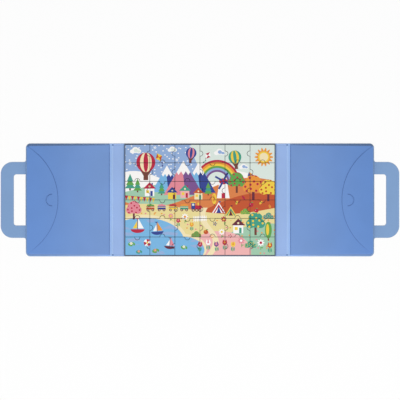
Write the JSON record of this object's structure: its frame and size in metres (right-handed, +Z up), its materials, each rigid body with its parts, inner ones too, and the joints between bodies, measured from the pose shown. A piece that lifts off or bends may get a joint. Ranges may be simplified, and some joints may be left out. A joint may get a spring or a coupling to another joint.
{
  "type": "magnetic puzzle",
  "caption": "Magnetic jigsaw on a folding board, inside a creased plastic carry case with flap pockets and handle loops.",
  "frame": {"origin": "centre of the open case, on the table under its centre fold", "axes": "+X along the open case towards the right handle, +Y towards the top edge of the picture, +Z up"},
  "size_m": [0.797, 0.226, 0.0086],
  "materials": {
    "cover_sheet": "satin blue polypropylene sheet, fine grain",
    "spine_sheet": "satin pale blue polypropylene sheet",
    "pocket_sheet": "satin mid-blue polypropylene sheet",
    "board_core": "dense greyboard",
    "steel_sheet": "tinplate",
    "board_face": "dark slate laminated paper",
    "printed_piece": "glossy printed card on a dark magnetic backing"
  },
  "bodies": {
    "left_half": {"left_back_sheet": "cover_sheet", "left_board_core": "board_core", "left_steel_sheet": "steel_sheet", "left_board_face": "board_face"},
    "left_spine": {"left_spine_strip": "spine_sheet"},
    "left_panel": {"left_cover_panel": "cover_sheet", "left_pocket_tray": "pocket_sheet", "left_pocket_front": "pocket_sheet"},
    "left_flap": {"left_flap": "pocket_sheet"},
    "right_half": {"right_back_sheet": "cover_sheet", "right_board_core": "board_core", "right_steel_sheet": "steel_sheet", "right_board_face": "board_face"},
    "right_spine": {"right_spine_strip": "spine_sheet"},
    "right_panel": {"right_cover_panel": "cover_sheet", "right_pocket_tray": "pocket_sheet", "right_pocket_front": "pocket_sheet"},
    "right_flap": {"right_flap": "pocket_sheet"},
    "piece_r1_c1": {"puzzle_piece_r1_c1": "printed_piece"},
    "piece_r1_c2": {"puzzle_piece_r1_c2": "printed_piece"},
    "piece_r1_c3": {"puzzle_piece_r1_c3": "printed_piece"},
    "piece_r1_c4": {"puzzle_piece_r1_c4": "printed_piece"},
    "piece_r1_c5": {"puzzle_piece_r1_c5": "printed_piece"},
    "piece_r1_c6": {"puzzle_piece_r1_c6": "printed_piece"},
    "piece_r2_c1": {"puzzle_piece_r2_c1": "printed_piece"},
    "piece_r2_c2": {"puzzle_piece_r2_c2": "printed_piece"},
    "piece_r2_c3": {"puzzle_piece_r2_c3": "printed_piece"},
    "piece_r2_c4": {"puzzle_piece_r2_c4": "printed_piece"},
    "piece_r2_c5": {"puzzle_piece_r2_c5": "printed_piece"},
    "piece_r2_c6": {"puzzle_piece_r2_c6": "printed_piece"},
    "piece_r3_c1": {"puzzle_piece_r3_c1": "printed_piece"},
    "piece_r3_c2": {"puzzle_piece_r3_c2": "printed_piece"},
    "piece_r3_c3": {"puzzle_piece_r3_c3": "printed_piece"},
    "piece_r3_c4": {"puzzle_piece_r3_c4": "printed_piece"},
    "piece_r3_c5": {"puzzle_piece_r3_c5": "printed_piece"},
    "piece_r3_c6": {"puzzle_piece_r3_c6": "printed_piece"},
    "piece_r4_c1": {"puzzle_piece_r4_c1": "printed_piece"},
    "piece_r4_c2": {"puzzle_piece_r4_c2": "printed_piece"},
    "piece_r4_c3": {"puzzle_piece_r4_c3": "printed_piece"},
    "piece_r4_c4": {"puzzle_piece_r4_c4": "printed_piece"},
    "piece_r4_c5": {"puzzle_piece_r4_c5": "printed_piece"},
    "piece_r4_c6": {"puzzle_piece_r4_c6": "printed_piece"},
    "piece_r5_c1": {"puzzle_piece_r5_c1": "printed_piece"},
    "piece_r5_c2": {"puzzle_piece_r5_c2": "printed_piece"},
    "piece_r5_c3": {"puzzle_piece_r5_c3": "printed_piece"},
    "piece_r5_c4": {"puzzle_piece_r5_c4": "printed_piece"},
    "piece_r5_c5": {"puzzle_piece_r5_c5": "printed_piece"},
    "piece_r5_c6": {"puzzle_piece_r5_c6": "printed_piece"},
    "piece_r6_c1": {"puzzle_piece_r6_c1": "printed_piece"},
    "piece_r6_c2": {"puzzle_piece_r6_c2": "printed_piece"},
    "piece_r6_c3": {"puzzle_piece_r6_c3": "printed_piece"},
    "piece_r6_c4": {"puzzle_piece_r6_c4": "printed_piece"},
    "piece_r6_c5": {"puzzle_piece_r6_c5": "printed_piece"},
    "piece_r6_c6": {"puzzle_piece_r6_c6": "printed_piece"}
  },
  "joints": [
    {"name": "centre_fold", "type": "hinge", "parent": "left_half", "child": "right_half", "pos_m": [0, 0, -0.0003], "axis": [0, 1, 0], "range_deg": [0, 180]},
    {"name": "left_spine_fold", "type": "hinge", "parent": "left_half", "child": "left_spine", "pos_m": [-0.1524, 0, 0.00017], "axis": [0, 1, 0], "range_deg": [0, 90]},
    {"name": "left_panel_fold", "type": "hinge", "parent": "left_spine", "child": "left_panel", "pos_m": [-0.1743, 0, 0.00017], "axis": [0, 1, 0], "range_deg": [0, 90]},
    {"name": "left_flap_fold", "type": "hinge", "parent": "left_panel", "child": "left_flap", "pos_m": [-0.34565, 0, 0.0078], "axis": [0, -1, 0], "range_deg": [0, 175]},
    {"name": "right_spine_fold", "type": "hinge", "parent": "right_half", "child": "right_spine", "pos_m": [0.1524, 0, 0.00017], "axis": [0, -1, 0], "range_deg": [0, 90]},
    {"name": "right_panel_fold", "type": "hinge", "parent": "right_spine", "child": "right_panel", "pos_m": [0.1743, 0, 0.00017], "axis": [0, -1, 0], "range_deg": [0, 90]},
    {"name": "right_flap_fold", "type": "hinge", "parent": "right_panel", "child": "right_flap", "pos_m": [0.34565, 0, 0.0078], "axis": [0, 1, 0], "range_deg": [0, 175]},
    {"name": "lift_r1_c1", "type": "slide", "parent": "left_half", "child": "piece_r1_c1", "axis": [0, 0, 1], "range_m": [0, 0.005]},
    {"name": "lift_r1_c2", "type": "slide", "parent": "left_half", "child": "piece_r1_c2", "axis": [0, 0, 1], "range_m": [0, 0.005]},
    {"name": "lift_r1_c3", "type": "slide", "parent": "left_half", "child": "piece_r1_c3", "axis": [0, 0, 1], "range_m": [0, 0.005]},
    {"name": "lift_r1_c4", "type": "slide", "parent": "right_half", "child": "piece_r1_c4", "axis": [0, 0, 1], "range_m": [0, 0.005]},
    {"name": "lift_r1_c5", "type": "slide", "parent": "right_half", "child": "piece_r1_c5", "axis": [0, 0, 1], "range_m": [0, 0.005]},
    {"name": "lift_r1_c6", "type": "slide", "parent": "right_half", "child": "piece_r1_c6", "axis": [0, 0, 1], "range_m": [0, 0.005]},
    {"name": "lift_r2_c1", "type": "slide", "parent": "left_half", "child": "piece_r2_c1", "axis": [0, 0, 1], "range_m": [0, 0.005]},
    {"name": "lift_r2_c2", "type": "slide", "parent": "left_half", "child": "piece_r2_c2", "axis": [0, 0, 1], "range_m": [0, 0.005]},
    {"name": "lift_r2_c3", "type": "slide", "parent": "left_half", "child": "piece_r2_c3", "axis": [0, 0, 1], "range_m": [0, 0.005]},
    {"name": "lift_r2_c4", "type": "slide", "parent": "right_half", "child": "piece_r2_c4", "axis": [0, 0, 1], "range_m": [0, 0.005]},
    {"name": "lift_r2_c5", "type": "slide", "parent": "right_half", "child": "piece_r2_c5", "axis": [0, 0, 1], "range_m": [0, 0.005]},
    {"name": "lift_r2_c6", "type": "slide", "parent": "right_half", "child": "piece_r2_c6", "axis": [0, 0, 1], "range_m": [0, 0.005]},
    {"name": "lift_r3_c1", "type": "slide", "parent": "left_half", "child": "piece_r3_c1", "axis": [0, 0, 1], "range_m": [0, 0.005]},
    {"name": "lift_r3_c2", "type": "slide", "parent": "left_half", "child": "piece_r3_c2", "axis": [0, 0, 1], "range_m": [0, 0.005]},
    {"name": "lift_r3_c3", "type": "slide", "parent": "left_half", "child": "piece_r3_c3", "axis": [0, 0, 1], "range_m": [0, 0.005]},
    {"name": "lift_r3_c4", "type": "slide", "parent": "right_half", "child": "piece_r3_c4", "axis": [0, 0, 1], "range_m": [0, 0.005]},
    {"name": "lift_r3_c5", "type": "slide", "parent": "right_half", "child": "piece_r3_c5", "axis": [0, 0, 1], "range_m": [0, 0.005]},
    {"name": "lift_r3_c6", "type": "slide", "parent": "right_half", "child": "piece_r3_c6", "axis": [0, 0, 1], "range_m": [0, 0.005]},
    {"name": "lift_r4_c1", "type": "slide", "parent": "left_half", "child": "piece_r4_c1", "axis": [0, 0, 1], "range_m": [0, 0.005]},
    {"name": "lift_r4_c2", "type": "slide", "parent": "left_half", "child": "piece_r4_c2", "axis": [0, 0, 1], "range_m": [0, 0.005]},
    {"name": "lift_r4_c3", "type": "slide", "parent": "left_half", "child": "piece_r4_c3", "axis": [0, 0, 1], "range_m": [0, 0.005]},
    {"name": "lift_r4_c4", "type": "slide", "parent": "right_half", "child": "piece_r4_c4", "axis": [0, 0, 1], "range_m": [0, 0.005]},
    {"name": "lift_r4_c5", "type": "slide", "parent": "right_half", "child": "piece_r4_c5", "axis": [0, 0, 1], "range_m": [0, 0.005]},
    {"name": "lift_r4_c6", "type": "slide", "parent": "right_half", "child": "piece_r4_c6", "axis": [0, 0, 1], "range_m": [0, 0.005]},
    {"name": "lift_r5_c1", "type": "slide", "parent": "left_half", "child": "piece_r5_c1", "axis": [0, 0, 1], "range_m": [0, 0.005]},
    {"name": "lift_r5_c2", "type": "slide", "parent": "left_half", "child": "piece_r5_c2", "axis": [0, 0, 1], "range_m": [0, 0.005]},
    {"name": "lift_r5_c3", "type": "slide", "parent": "left_half", "child": "piece_r5_c3", "axis": [0, 0, 1], "range_m": [0, 0.005]},
    {"name": "lift_r5_c4", "type": "slide", "parent": "right_half", "child": "piece_r5_c4", "axis": [0, 0, 1], "range_m": [0, 0.005]},
    {"name": "lift_r5_c5", "type": "slide", "parent": "right_half", "child": "piece_r5_c5", "axis": [0, 0, 1], "range_m": [0, 0.005]},
    {"name": "lift_r5_c6", "type": "slide", "parent": "right_half", "child": "piece_r5_c6", "axis": [0, 0, 1], "range_m": [0, 0.005]},
    {"name": "lift_r6_c1", "type": "slide", "parent": "left_half", "child": "piece_r6_c1", "axis": [0, 0, 1], "range_m": [0, 0.005]},
    {"name": "lift_r6_c2", "type": "slide", "parent": "left_half", "child": "piece_r6_c2", "axis": [0, 0, 1], "range_m": [0, 0.005]},
    {"name": "lift_r6_c3", "type": "slide", "parent": "left_half", "child": "piece_r6_c3", "axis": [0, 0, 1], "range_m": [0, 0.005]},
    {"name": "lift_r6_c4", "type": "slide", "parent": "right_half", "child": "piece_r6_c4", "axis": [0, 0, 1], "range_m": [0, 0.005]},
    {"name": "lift_r6_c5", "type": "slide", "parent": "right_half", "child": "piece_r6_c5", "axis": [0, 0, 1], "range_m": [0, 0.005]},
    {"name": "lift_r6_c6", "type": "slide", "parent": "right_half", "child": "piece_r6_c6", "axis": [0, 0, 1], "range_m": [0, 0.005]}
  ]
}
